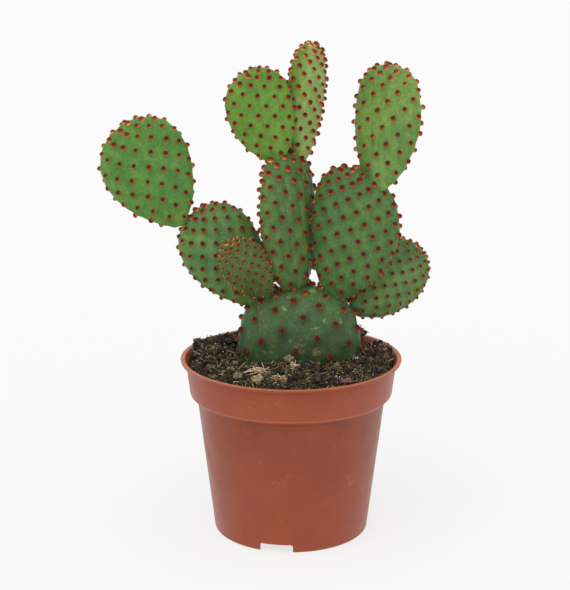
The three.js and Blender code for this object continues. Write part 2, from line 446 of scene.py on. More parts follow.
def pot_plastic():
    material, tree, shader = new_material("terracotta_plastic", {"Specular IOR Level": 0.35})
    cloud = ramp(tree, grain(tree, 38, 4), (0.3, srgb(141, 62, 34)), (0.7, srgb(150, 68, 39)))
    hairs = only_where(tree, thin_lines(tree, 60, 0.005, 1.5), 75, 0.53, 0.6)
    dust = rise(tree, grain(tree, 1300, 2, 0.5), 0.66, 0.74)
    dust = only_where(tree, dust, 110, 0.4, 0.62)
    rubbed = rise(tree, grain(tree, 150, 5, 0.6, (1, 1, 9), 0.4), 0.62, 0.72)
    rubbed = only_where(tree, rubbed, 26, 0.5, 0.62)
    scuffed = math_node(tree, "MAXIMUM", times(tree, hairs, 0.8), times(tree, dust, 0.55))
    scuffed = math_node(tree, "MAXIMUM", scuffed, times(tree, rubbed, 0.3))
    wear_and_painted_light = mix(tree, times(tree, scuffed, 0.5), cloud, srgb(198, 140, 112))
    # painted shade: the wall just under the band's ledge is darkened, broken up by noise
    painted_ledge_shade = times(tree, attribute(tree, "ledge"), grain(tree, 60, 3))
    wear_and_painted_light = mix(tree, times(tree, painted_ledge_shade, 1.1), wear_and_painted_light, srgb(92, 44, 28))
    # painted highlight: a paler line along the lip's top, and along the band's foot, where it is also
    # rubbed
    wear_and_painted_light = mix(tree, times(tree, attribute(tree, "edge"), 0.55), wear_and_painted_light, srgb(206, 126, 88))
    specks = rise(tree, grain(tree, 520, 2, 0.4), 0.74, 0.77)
    specks = only_where(tree, specks, 55, 0.5, 0.6)
    dusted = mix(tree, times(tree, specks, 0.75), wear_and_painted_light, srgb(74, 40, 28))
    tree.links.new(dusted, shader.inputs["Base Color"])
    rough = ramp(tree, grain(tree, 90, 4), (0.3, grey(0.32)), (0.75, grey(0.46)))
    tree.links.new(plus(tree, rough, times(tree, scuffed, 0.2)), shader.inputs["Roughness"])
    fine = bump(tree, grain(tree, 1500, 2), 0.05, 0.0002)
    tree.links.new(bump(tree, grain(tree, 45, 2), 0.12, 0.0006, fine), shader.inputs["Normal"])
    return material


heights = np.array([v.co.z for v in pot.data.vertices]) / MM
# where the painted shade under the band's ledge lies, by height
ledge_shade_mask = np.exp(-(((heights - LEDGE_HEIGHT) / 1.6) ** 2)) * (heights < BAND_FOOT - 1)
# the painted highlight's line along the band's foot; the edge attribute adds the lip's top to it
band_foot_highlight = np.exp(-(((heights - BAND_FOOT) / 0.35) ** 2))
store(pot.data, "ledge", ledge_shade_mask)
store(pot.data, "edge", (heights > POT_HEIGHT - 0.3) + 0.7 * band_foot_highlight)
pot.data.materials.clear()
pot.data.materials.append(pot_plastic())
finish_piece(pot, "pot_plastic", "pot")

# %% [markdown]
# ## Soil
# The pot is filled with a peat mix that has been heaped up unevenly behind the plant. The bed
# is one closed plug: its top is a fine polar grid, lifted in heaps much as the CAD solid is, and
# then roughened by noise of three sizes. Everything that can be told apart on a real peat mix
# (crumbs, fibres, chips and pale grains) is scattered over it as real geometry.

# %% Soil heights
SOIL_LEVEL = 94.5
EDGE_DROP = 2.0
WALL_STARTS, WALL_ENDS = 44, 55  # the soil sinks over this stretch, from the axis outwards
HEAPS = [  # x, y, height, spread
    (-38, 26, 5.5, 11), (35, 24, 8, 7), (53, 4, 14, 7), (4, 42, 7, 16), (-51, 12, 9, 9), (-2, -20, 2.5, 9),
]


def smoothstep(value, low, high):
    t = np.clip((value - low) / (high - low), 0, 1)
    return t * t * (3 - 2 * t)


def soil_height(x, y):
    """Height of the smooth soil surface, in millimetres, x and y from the pot's axis."""
    edge = smoothstep(np.hypot(x, y), WALL_STARTS, WALL_ENDS)
    heaps = sum(h * np.exp(-((x - cx) ** 2 + (y - cy) ** 2) / spread**2) for cx, cy, h, spread in HEAPS)
    return SOIL_LEVEL + heaps * (1 - 0.6 * edge) - EDGE_DROP * edge


def roughness_at(x, y):
    """Lumps of three sizes, in millimetres."""
    lumps = 1.9 * noise.noise(Vector((x * 0.11, y * 0.11, 3.0)))
    crumbs = 1.5 * noise.noise(Vector((x * 0.33, y * 0.33, 7.0)))
    grit = 0.8 * noise.noise(Vector((x * 0.9, y * 0.9, 11.0)))
    return lumps + crumbs + grit


print("soil is", round(float(soil_height(0, 0)), 1), "mm high on the pot's axis")

# %% Soil bed
SOIL_RINGS, SOIL_AROUND = 90, 220
SOIL_RADIUS = 54.9
SOIL_SIDE = [(53.0, 79.2), (49.0, 75.4), (40.6, 7.4), (39.2, 5.9)]  # radius, height: inside the wall


def make_soil_bed():
    points = [(0, 0, float(soil_height(0, 0)))]
    for ring in range(1, SOIL_RINGS + 1):
        for x, y in circle(SOIL_RADIUS * ring / SOIL_RINGS, SOIL_AROUND):
            points.append((x, y, float(soil_height(x, y)) + roughness_at(x, y)))
    for radius, z in SOIL_SIDE:
        points += [(x, y, z) for x, y in circle(radius, SOIL_AROUND)]
    points.append((0, 0, SOIL_SIDE[-1][1]))
    rings = SOIL_RINGS + len(SOIL_SIDE)
    faces = ring_faces(rings, SOIL_AROUND, 0, len(points) - 1, start=1, outward=False)
    return [(POT_X + x * MM, y * MM, z * MM) for x, y, z in points], faces


soil_points, soil_faces = make_soil_bed()
print("soil bed:", len(soil_faces), "faces")

# %% [markdown]
# ### Peat
# Moist peat is nearly black where it is wet and brown where it has dried, with tan fibre all
# through it. The bed shows only between the crumbs, so it is kept dark, and it is very rough.

# %% Peat materials
def peat(name, *stops):
    """Crumbly matter: its tone comes from each bit's own tint and from noise across it.

    Stops are a place from dark to pale and a colour.
    """
    material, tree, shader = new_material(name, {"Roughness": 0.92, "Specular IOR Level": 0.25})
    speckle = grain(tree, 1100, 4, 0.6)
    own = times(tree, attribute(tree, "tint"), 0.62)
    tone = plus(tree, own, times(tree, speckle, 0.42))
    colour = ramp(tree, tone, *((place, srgb(*rgb)) for place, *rgb in stops))
    tree.links.new(colour, shader.inputs["Base Color"])
    tree.links.new(bump(tree, speckle, 0.7, 0.0004), shader.inputs["Normal"])
    return material


peat_dark = peat(
    "moist_peat", (0.2, 18, 18, 18), (0.46, 38, 35, 31), (0.6, 68, 57, 43),
    (0.74, 112, 94, 66), (0.92, 168, 144, 104),
)
bed_material = peat("packed_peat", (0.1, 16, 15, 15), (0.45, 40, 36, 31), (0.8, 70, 60, 45))
soil = mesh_object("soil_bed", soil_points, soil_faces, bed_material)
store(soil.data, "tint", [0.5 + 0.5 * noise.noise(v.co * 90) for v in soil.data.vertices])
finish_piece(soil, "peat", "soil")

# %% Straw, bark and grain materials
straw_gold = peat(
    "dry_straw", (0.1, 96, 76, 48), (0.35, 158, 130, 84), (0.6, 206, 180, 128),
    (0.85, 236, 218, 176),
)
straw_pale = peat(
    "bleached_straw", (0.1, 140, 116, 78), (0.4, 206, 184, 140), (0.8, 246, 232, 198),
)
crumpled_leaf = peat(
    "crumpled_leaf", (0.2, 66, 56, 40), (0.42, 136, 120, 86), (0.7, 206, 190, 150),
)
root_fibre = peat(
    "root_fibre", (0.1, 40, 33, 24), (0.4, 100, 82, 56), (0.65, 166, 138, 96),
    (0.9, 220, 194, 146),
)
bark_brown = peat(
    "bark", (0.1, 34, 28, 24), (0.45, 70, 54, 42), (0.75, 116, 92, 68), (0.95, 146, 120, 92),
)
bark_pink = peat("pink_bark", (0.2, 92, 58, 54), (0.5, 128, 82, 76), (0.8, 164, 122, 112))
pale_grain = peat(
    "pale_grain", (0.1, 98, 88, 70), (0.4, 158, 146, 118), (0.7, 206, 196, 168), (0.9, 236, 230, 212),
)
grey_stone = peat("dusty_stone", (0.15, 70, 62, 50), (0.45, 116, 106, 86), (0.8, 158, 146, 122))

# %% [markdown]
# ### Litter
# Each kind of litter has a few shapes, made once and about a metre in size: a crumb is a ball
# knocked out of round, a chip is a flat, crooked plate, and a fibre is a bent thread with a
# three-sided section. Copies of them, scaled down to millimetres, are what lies on the soil.

# %% Litter shapes
def shelf(name):
    """A collection for shapes that are only copied from, and cleared away before the end."""
    made = bpy.data.collections.new(name)
    scene.collection.children.link(made)
    return made


def put_on_shelf(collection, shape):
    scene.collection.objects.unlink(shape)
    collection.objects.link(shape)


def fill_shelf(name, count, make, smooth=False):
    """A shelf with count shapes, each made from its own number."""
    made = shelf(name)
    for i in range(count):
        put_on_shelf(made, mesh_object(f"{name}_{i}", *make(i), smooth=smooth))
    return made


def ball(detail):
    shape = bmesh.new()
    bmesh.ops.create_icosphere(shape, subdivisions=detail, radius=1)
    points = [v.co.copy() for v in shape.verts]
    faces = [tuple(v.index for v in f.verts) for f in shape.faces]
    shape.free()
    return points, faces


def crumb(seed, squash=(1, 0.8, 0.65), knock=0.5):
    """A ball knocked out of round by noise."""
    points, faces = ball(1)
    moved = []
    for p in points:
        push = 1 + knock * noise.noise(p * 1.3 + Vector((seed * 7.1, 0, 0)))
        moved.append((p.x * push * squash[0], p.y * push * squash[1], p.z * push * squash[2]))
    return moved, faces


def thread(path, radius, taper=0.4):
    """A three-sided tube along a list of points, thinner at its far end, closed at both ends."""
    points, faces = [], []
    for i, here in enumerate(path):
        before, after = path[max(i - 1, 0)], path[min(i + 1, len(path) - 1)]
        along = (after - before).normalized()
        side = along.cross(Vector((0.3, 0.2, 1))).normalized()
        up = side.cross(along)
        width = radius * (1 - (1 - taper) * i / (len(path) - 1))
        for k in range(3):
            turn = 2 * math.pi * k / 3
            points.append(here + side * width * math.cos(turn) + up * width * math.sin(turn))
    for i in range(len(path) - 1):
        for k in range(3):
            n = (k + 1) % 3
            faces.append((3 * i + k, 3 * i + n, 3 * i + 3 + n, 3 * i + 3 + k))
    faces.append((2, 1, 0))
    end = 3 * (len(path) - 1)
    faces.append((end, end + 1, end + 2))
    return points, faces


def bent_path(seed, length, bend, steps=6):
    """Points of a thread that wanders, with its middle at the origin."""
    rng = random.Random(seed)
    heading = Vector((1, 0, 0))
    drift = Vector((0, rng.uniform(-1, 1), rng.uniform(-0.5, 0.5))) * bend
    path = [Vector((0, 0, 0))]
    for _ in range(steps):
        jitter = Vector((0, rng.uniform(-1, 1), rng.uniform(-1, 1))) * bend * 0.5
        heading = (heading + drift / steps + jitter).normalized()
        path.append(path[-1] + heading * length / steps)
    middle = (path[0] + path[-1]) / 2
    return [p - middle for p in path]

# %% Fill the shelves
crumbs = fill_shelf("crumbs", 5, crumb)
grains = fill_shelf("grains", 3, lambda i: crumb(20 + i, (1, 0.9, 0.8), 0.3))
chips = fill_shelf("chips", 4, lambda i: crumb(40 + i, (1.3, 0.7, 0.2), 0.9))
shreds = fill_shelf("shreds", 5, lambda i: thread(bent_path(80 + i, 2, 0.6, 5), 0.2, 0.5))
fibres = fill_shelf("fibres", 6, lambda i: thread(bent_path(i, 2, 0.5), 0.035), smooth=True)
blades = fill_shelf("blades", 4, lambda i: thread(bent_path(60 + i, 2, 0.25, 4), 0.1, 0.7), smooth=True)

# %% Helpers for Geometry Nodes trees
SOCKETS = {
    float: "NodeSocketFloat", int: "NodeSocketInt", bpy.types.Material: "NodeSocketMaterial",
    bpy.types.Collection: "NodeSocketCollection",
}


def new_tree(name, **inputs):
    """A Geometry Nodes tree with named inputs. Returns it with its group input and output."""
    tree = bpy.data.node_groups.new(name, "GeometryNodeTree")
    for way in ("INPUT", "OUTPUT"):
        tree.interface.new_socket("Geometry", in_out=way, socket_type="NodeSocketGeometry")
    for label, kind in inputs.items():
        tree.interface.new_socket(label, in_out="INPUT", socket_type=SOCKETS[kind])
    return tree, tree.nodes.new("NodeGroupInput").outputs, tree.nodes.new("NodeGroupOutput").inputs


def grow(name, tree, ground, **inputs):
    """Run a tree on a mesh with these inputs, and keep the result as a plain mesh."""
    host = bpy.data.objects.new(name, ground)
    scene.collection.objects.link(host)
    modifier = host.modifiers.new("grow", "NODES")
    modifier.node_group = tree
    sockets = {s.name: s.identifier for s in tree.interface.items_tree if s.in_out == "INPUT"}
    for label, value in inputs.items():
        modifier[sockets[label]] = value
    return make_plain(host)


def random_value(tree, low, high, seed, kind="FLOAT"):
    """A number or a vector between two ends, drawn anew for each spot."""
    first, out = (0, 0) if kind == "FLOAT_VECTOR" else (2, 1)
    made = add(tree, "FunctionNodeRandomValue", {"Seed": seed, first: low, first + 1: high}, data_type=kind)
    return made.outputs[out]


def keep_attribute(tree, geometry, name, value, domain="POINT"):
    return add(
        tree, "GeometryNodeStoreNamedAttribute", {"Geometry": geometry, "Name": name, "Value": value},
        data_type="FLOAT", domain=domain,
    ).outputs[0]


def turn_each(tree, rotation, least, most, seed):
    """Turn each spot about its own axes, by random angles between two vectors of radians."""
    angles = random_value(tree, least, most, seed, "FLOAT_VECTOR")
    own = add(tree, "FunctionNodeEulerToRotation", {"Euler": angles}).outputs[0]
    ins = {"Rotation": rotation, "Rotate By": own}
    return add(tree, "FunctionNodeRotateRotation", ins, rotation_space="LOCAL").outputs[0]


def set_copies(tree, points, shapes, rotation, scale):
    """One of a collection's shapes on each point."""
    picked = add(
        tree, "GeometryNodeCollectionInfo",
        {"Collection": shapes, "Separate Children": True, "Reset Children": True},
    )
    return add(tree, "GeometryNodeInstanceOnPoints", {
        "Points": points, "Instance": picked.outputs[0], "Pick Instance": True, "Rotation": rotation,
        "Scale": scale,
    }).outputs[0]


def close_tree(tree, instances, finish, result):
    """Every tree ends like this, so that the result is one real mesh with its finish."""
    real = add(tree, "GeometryNodeRealizeInstances", {"Geometry": instances}).outputs[0]
    painted = add(tree, "GeometryNodeSetMaterial", {"Geometry": real, "Material": finish}).outputs[0]
    tree.links.new(painted, result[0])


def tint_and_close(tree, copies, given, shift, result):
    """Give each copy its own tint, from a draw of its own, and end the tree."""
    tint = random_value(tree, 0.0, 1.0, plus(tree, given["Seed"], shift))
    tinted = keep_attribute(tree, copies, "tint", tint, "INSTANCE")
    close_tree(tree, tinted, given["Finish"], result)

# %% [markdown]
# One tree serves all kinds of litter. It throws points on the soil, thickly in some patches and
# thinly in others, sets a shape on each with its own turn, size and tint, and lifts it a little.

# %% Scatter tree
PATCH_SCALE = 110.0  # patches of litter per metre
ANY_TURN = 3.15  # radians, either way
TINT_DRAW = 9.0  # tints come from a draw of their own


def scatter_tree():
    tree, given, result = new_tree(
        "Scatter on soil", Shapes=bpy.types.Collection, Density=float, Patchiness=float, Smallest=float,
        Largest=float, Tilt=float, Lift=float, Seed=int, Finish=bpy.types.Material,
    )
    seed = given["Seed"]
    place = add(tree, "GeometryNodeInputPosition").outputs[0]
    place = vector_math(tree, "ADD", place, vector(tree, seed))
    patches = add(tree, "ShaderNodeTexNoise", {"Vector": place, "Scale": PATCH_SCALE, "Detail": 2.0})
    contrast = times(tree, minus(tree, patches.outputs["Fac"], 0.5), given["Patchiness"])
    spread = times(tree, plus(tree, contrast, 1.0, True), plus(tree, contrast, 1.0))
    density = times(tree, spread, given["Density"])
    spots = add(
        tree, "GeometryNodeDistributePointsOnFaces",
        {"Mesh": given["Geometry"], "Seed": seed, "Density": density},
    ).outputs
    tilt, back = given["Tilt"], times(tree, given["Tilt"], -1.0)
    least, most = vector(tree, back, back, -ANY_TURN), vector(tree, tilt, tilt, ANY_TURN)
    rotation = turn_each(tree, spots["Rotation"], least, most, seed)
    share = math_node(tree, "POWER", random_value(tree, 0.0, 1.0, seed), 2.0)
    span = minus(tree, given["Largest"], given["Smallest"])
    size = plus(tree, given["Smallest"], times(tree, share, span))
    copies = set_copies(tree, spots["Points"], given["Shapes"], rotation, size)
    up = vector(tree, z=given["Lift"])
    lifted = add(
        tree, "GeometryNodeTranslateInstances",
        {"Instances": copies, "Translation": up, "Local Space": False},
    ).outputs[0]
    tint_and_close(tree, lifted, given, TINT_DRAW, result)
    return tree


litter_tree = scatter_tree()
print("scatter tree:", len(litter_tree.nodes), "nodes")

# %% [markdown]
# ## Pads
# A pad is an egg-shaped disc: blunt at its tip, narrower at its foot, thick in the middle and
# round at the rim. Its sizes and lean follow the CAD solid's, a few of them corrected by a few
# millimetres. The mesh is built ring by ring from that rule, and then shaped as skin: a low
# swelling under every tuft, a slow unevenness or furrows along an old pad, and a short neck at
# the foot that sinks into the pad below, because one pad grows out of another.

# %% The plant's pads, after the CAD model, in millimetres and degrees
# lean is to the right, nod forwards, turn about the pad's own length. egg widens the upper half, bow
# bends the pad sideways, fullness below 1 makes both ends blunter. tufts, start and hand set the
# spiral; size and golden are the tufts' own, and golden below nought adds painted
# shade. deep and light are the skin's two greens.
PADS = {
    # the base pad's golden is below nought: its old tufts are less gold, and darker still as a painted
    # shade from the pads above
    "base_pad": dict(
        foot=(4.5, 8, 67), lean=0, nod=0, turn=0, bow=0,
        length=66, width=66, thickness=36, egg=0.06, fullness=0.77,
        tufts=90, start=0.46, hand=1, size=1.45, golden=-0.6, deep=(50, 75, 45), light=(70, 100, 60)),
    "middle_pad": dict(
        foot=(2, 8, 132.5), lean=-4, nod=0, turn=50, bow=-1,
        length=74, width=39, thickness=18.5, egg=0.1, fullness=0.7, furrows=1.1,
        tufts=122, start=0.71, hand=1, size=1.22, golden=0.35, deep=(65, 100, 50), light=(90, 125, 65)),
    "middle_left_top_pad": dict(
        foot=(-8, 2, 204), lean=-14, nod=6, turn=0, bow=-1.5,
        length=49, width=34.5, thickness=11, egg=0.2, fullness=0.95,
        tufts=97, start=0.69, hand=1, size=1.02, golden=0.8, deep=(75, 120, 40), light=(100, 145, 55)),
    "middle_edge_top_pad": dict(
        foot=(5, 13, 202), lean=5, nod=-2, turn=60, bow=-0.5,
        length=61, width=32, thickness=12, egg=0.2, fullness=0.92, furrows=0.5, painted_sheen=0.85,
        tufts=115, start=0.01, hand=-1, size=1.1, golden=0.9, deep=(70, 110, 30), light=(95, 135, 45)),
    "right_pad": dict(
        foot=(25, 5, 129), lean=5.5, nod=4, turn=-12, bow=5.5,
        length=71, width=46.5, thickness=16, egg=0.16, fullness=0.97,
        tufts=152, start=0.24, hand=1, size=1.15, golden=0.3, deep=(55, 95, 50), light=(80, 120, 65)),
    "right_top_pad": dict(
        foot=(45.2, -4, 190.4), lean=5, nod=-7, turn=-45, bow=2.5,
        length=63, width=43, thickness=13, egg=0.2, fullness=0.85, furrows=0.5,
        tufts=100, start=0.88, hand=1, size=1.12, golden=0.7, deep=(75, 120, 50), light=(110, 145, 75)),
    "right_back_pad": dict(
        foot=(35, 13, 118.5), lean=46.5, nod=-8, turn=0, bow=0,
        length=49, width=36.5, thickness=13, egg=0.13, fullness=1.01,
        tufts=135, start=0.32, hand=-1, size=0.88, golden=0.6, deep=(65, 105, 55), light=(95, 130, 80)),
    "left_pad": dict(
        foot=(-17.5, 7, 125.5), lean=-33.5, nod=-4, turn=5, bow=-1,
        length=59.5, width=41.5, thickness=14, egg=0.26, fullness=1.01,
        tufts=130, start=0.63, hand=-1, size=1.03, golden=0.4, deep=(65, 110, 60), light=(95, 135, 75)),
    "left_top_pad": dict(
        foot=(-59.8, 6, 169), lean=-25.5, nod=0, turn=5, bow=-2,
        length=60, width=47, thickness=13, egg=0.27, fullness=1.06,
        tufts=110, start=0.24, hand=-1, size=1.06, golden=0.7, deep=(60, 115, 45), light=(90, 135, 60)),
    "left_front_young_pad": dict(
        foot=(-13, -5, 132.5), lean=-35, nod=12, turn=15, bow=0.5,
        length=37, width=24.5, thickness=10, egg=0.13, fullness=1.08,
        tufts=122, start=0.87, hand=1, size=0.8, golden=1.6, deep=(50, 80, 40), light=(75, 105, 55)),
}
print(len(PADS), "pads with", sum(pad["tufts"] for pad in PADS.values()), "tufts")

# %% Shape of a pad
JOINT_WIDTH, JOINT_REACH = 0.12, 0.3


def pad_share(pad, angle):
    """Half-width as a share of the widest, with a short blunt joint at the foot."""
    joint = JOINT_WIDTH * np.exp(-((angle / JOINT_REACH) ** 2))
    return np.sin(angle) ** pad["fullness"] * (1 - pad["egg"] * np.cos(angle)) + joint


def pad_surface(pad, angle, u):
    """Points on the smooth pad in its own frame: angle 0 is the foot and pi the tip, u runs round."""
    widest = pad_share(pad, np.linspace(0.01, math.pi - 0.01, 600)).max()
    share = pad_share(pad, angle) / widest
    x = np.cos(u) * share * pad["width"] / 2 + pad["bow"] * np.sin(angle) ** 2
    y = np.sin(u) * share**0.8 * pad["thickness"] / 2
    z = pad["length"] * (1 - np.cos(angle)) / 2
    return np.stack([x, y, z], -1)


def pad_directions(pad, angle, u):
    """The outward direction at each place, and the direction along the skin to the tip."""
    step = 1e-4
    up = pad_surface(pad, np.clip(angle + step, 1e-4, math.pi - 1e-4), u)
    up = up - pad_surface(pad, np.clip(angle - step, 1e-4, math.pi - 1e-4), u)
    round_ = pad_surface(pad, angle, u + step) - pad_surface(pad, angle, u - step)
    out = np.cross(round_, up)
    out /= np.linalg.norm(out, axis=-1, keepdims=True) + 1e-12
    up /= np.linalg.norm(up, axis=-1, keepdims=True) + 1e-12
    return out, up

# %% [markdown]
# ### The spiral of tufts
# A growing tip lays down tufts one by one, each a golden share of a turn on from the last, and
# that alone gives the slanting rows seen on every pad. The climb from tuft to tuft is measured in
# skin area, so that the rows stay evenly spaced, and then crowded a little at the tip and the rim.

# %% Spots for the tufts
GOLDEN_SHARE = 0.381966
TIP_CROWDING, RIM_CROWDING = 1.0, 1.1


def tuft_spots(pad):
    """The spiral: equal areas between turns, equal shares of the rim between tufts.

    A pad is crowded with tufts at its tip, where it grows, and a little along its rim.
    """
    angles = np.linspace(0.02, math.pi - 0.02, 400)
    rounds = np.linspace(0, 2 * math.pi, 361)
    ring_length = []
    for a in angles:
        ring = pad_surface(pad, np.full_like(rounds, a), rounds)
        ring_length.append(np.linalg.norm(np.diff(ring, axis=0), axis=1).sum())
    ring_length = np.array(ring_length)
    wide = pad_surface(pad, angles, np.zeros_like(angles))
    thin = pad_surface(pad, angles, np.full_like(angles, math.pi / 2))
    step = [np.linalg.norm(np.diff(line, axis=0), axis=1) for line in (wide, thin)]
    crowding = 1 + TIP_CROWDING * smoothstep((1 - np.cos(angles[1:])) / 2, 0.75, 1)
    band = (ring_length[1:] + ring_length[:-1]) * (step[0] + step[1]) * crowding
    area = np.concatenate([[0], np.cumsum(band)])
    girth = pad_surface(pad, np.full_like(rounds, math.pi / 2), rounds)
    stretch = np.linalg.norm(np.diff(girth, axis=0), axis=1) * (1 + RIM_CROWDING * np.cos(rounds[1:]) ** 6)
    arc = np.concatenate([[0], np.cumsum(stretch)])
    number = np.arange(pad["tufts"])
    angle = np.interp((number + 0.5) / pad["tufts"], area / area[-1], angles)
    share = (pad["start"] + pad["hand"] * number * GOLDEN_SHARE) % 1.0
    return angle, np.interp(share, arc / arc[-1], rounds)


def to_frame(pad, points, is_place=True):
    """From a pad's own frame to the shared frame, in metres for places."""
    lean, nod, turn = (math.radians(pad[k]) for k in ("lean", "nod", "turn"))
    rotation = Matrix.Rotation(lean, 3, "Y") @ Matrix.Rotation(nod, 3, "X") @ Matrix.Rotation(turn, 3, "Z")
    turned = np.asarray(points) @ np.array(rotation).T
    if not is_place:
        return turned
    return (turned + np.array(pad["foot"])) * MM + np.array([POT_X, 0, 0])

# %% Skin mesh
PAD_RINGS, PAD_AROUND = 84, 132
SWELLING_HEIGHT, SWELLING_WIDTH = 0.65, 2.5
UNEVEN_HEIGHT, UNEVEN_SCALE = 0.45, 13
FURROW_WIDTH, FURROW_LENGTH, FURROW_DEPTH = 3.2, 26, 0.15  # a pad's own furrows set its own depth
NECK_DEPTH, NECK_ANGLE = 1.4, 0.4


def make_skin(name, pad):
    angle = np.linspace(0, math.pi, PAD_RINGS + 1)[1:-1]
    u = np.linspace(0, 2 * math.pi, PAD_AROUND, endpoint=False)
    angles, rounds = (g.ravel() for g in np.meshgrid(angle, u, indexing="ij"))
    angles = np.concatenate([angles, [1e-3, math.pi - 1e-3]])
    rounds = np.concatenate([rounds, [0, 0]])
    points = pad_surface(pad, angles, rounds)
    points[-2:, :2] = 0
    out, _ = pad_directions(pad, angles, rounds)
    out[-2:] = ((0, 0, -1), (0, 0, 1))

    spots = pad_surface(pad, *tuft_spots(pad))
    away = np.linalg.norm(points[:, None, :] - spots[None, :, :], axis=2)
    near = np.exp(-((away / (SWELLING_WIDTH * pad["size"])) ** 2))
    swelling = near.sum(1) * SWELLING_HEIGHT * pad["size"]
    seed = 10.0 * list(PADS).index(name)
    shift = Vector((seed, 0, 0))
    uneven = [UNEVEN_HEIGHT * noise.noise(Vector(p) / UNEVEN_SCALE + shift) for p in points]
    across, along = FURROW_WIDTH, FURROW_LENGTH
    furrows = [noise.noise(Vector((x / across, y / across, z / along + seed))) for x, y, z in points]
    furrows = np.array(furrows) * pad.get("furrows", FURROW_DEPTH) * np.sin(angles)
    points = points + out * (swelling + furrows + np.array(uneven))[:, None]
    neck = np.clip(1 - angles / NECK_ANGLE, 0, 1) ** 2
    points[:, 2] -= NECK_DEPTH * neck

    foot, tip = len(points) - 2, len(points) - 1
    faces = ring_faces(PAD_RINGS - 1, PAD_AROUND, foot, tip)
    skin = mesh_object(name + "_skin", to_frame(pad, points), faces)
    store(skin.data, "along", points[:, 2] / pad["length"])
    # areole: nearness to a tuft; the skin lays a painted shade round each tuft by it
    store(skin.data, "areole", np.clip(near.max(1), 0, 1))
    store(skin.data, "rim", np.abs(np.cos(rounds)) ** 6)
    # side: which face of the pad, the front below nought; the skin lays its painted sheen by it
    store(skin.data, "side", np.sin(rounds))
    store_vectors(skin.data, "place", points / 1000)
    return skin

# %% [markdown]
# ### Skin
# The skin is matte and waxy, with a faint velvet that shows at grazing angles, so the shader's
# sheen is turned up a little. Its green drifts over a centimetre or two, is yellower towards the
# tip and round the rim, has a painted shade round each tuft, and is broken by streaks along the pad
# and by pale dots. One young pad has a painted sheen, a pale grey, on its front. The oldest also
# has scratches, cork and scars, and a painted shade low down that turns to a painted light at its top.

# %% Marks of age and painted shade
SCAR_PLACES = ((POT_X + 0.0045, -0.0095, 0.1035), (POT_X + 0.0130, -0.009, 0.102))
SCAR_REACH = 0.0036


def tinted(colour, *shares):
    """A painter's colour with its red, green and blue each multiplied."""
    return srgb(*(min(255, c * share) for c, share in zip(colour, shares)))


def age_marks_and_painted_shade(tree, green):
    """What years leave on the base pad: scratches, pale spots, cork and scars; with a painted shade low on
    the pad that turns to a painted light near its top.
    """
    scratches = only_where(tree, thin_lines(tree, 45, 0.004, 0.8), 60, 0.42, 0.5)
    green = mix(tree, times(tree, scratches, 0.3), green, srgb(140, 166, 128))
    spots = rise(tree, grain(tree, 190, 1, 0.3), 0.7, 0.76)
    green = mix(tree, times(tree, spots, 0.65), green, srgb(124, 156, 70))
    along = attribute(tree, "along")
    # painted shade on the lower part of the pad, turning to a painted light near its top
    shade = ramp(tree, along, (0.42, (0.66, 0.66, 0.68, 1)), (0.95, (1.2, 1.2, 1.22, 1)))
    green = multiply(tree, green, shade)
    cork = rise(tree, grain(tree, 330, 3, 0.6, distortion=0.5), 0.68, 0.72)
    scaly = rise(tree, grain(tree, 420, 4, 0.7, distortion=1.2), 0.5, 0.56)
    place = add(tree, "ShaderNodeTexCoord").outputs["Object"]
    for scar_place in SCAR_PLACES:
        away = math_node(tree, "DIVIDE", vector_math(tree, "DISTANCE", place, scar_place), SCAR_REACH)
        scar = ramp(tree, away, (0.5, grey(1)), (1.0, grey(0)))
        cork = math_node(tree, "MAXIMUM", cork, times(tree, scar, scaly))
    return mix(tree, times(tree, cork, 0.7), green, srgb(158, 134, 92))

# %% Skin material
STREAK_PITCH = 0.14  # noise squeezed this much along the pad gives streaks seven times their width


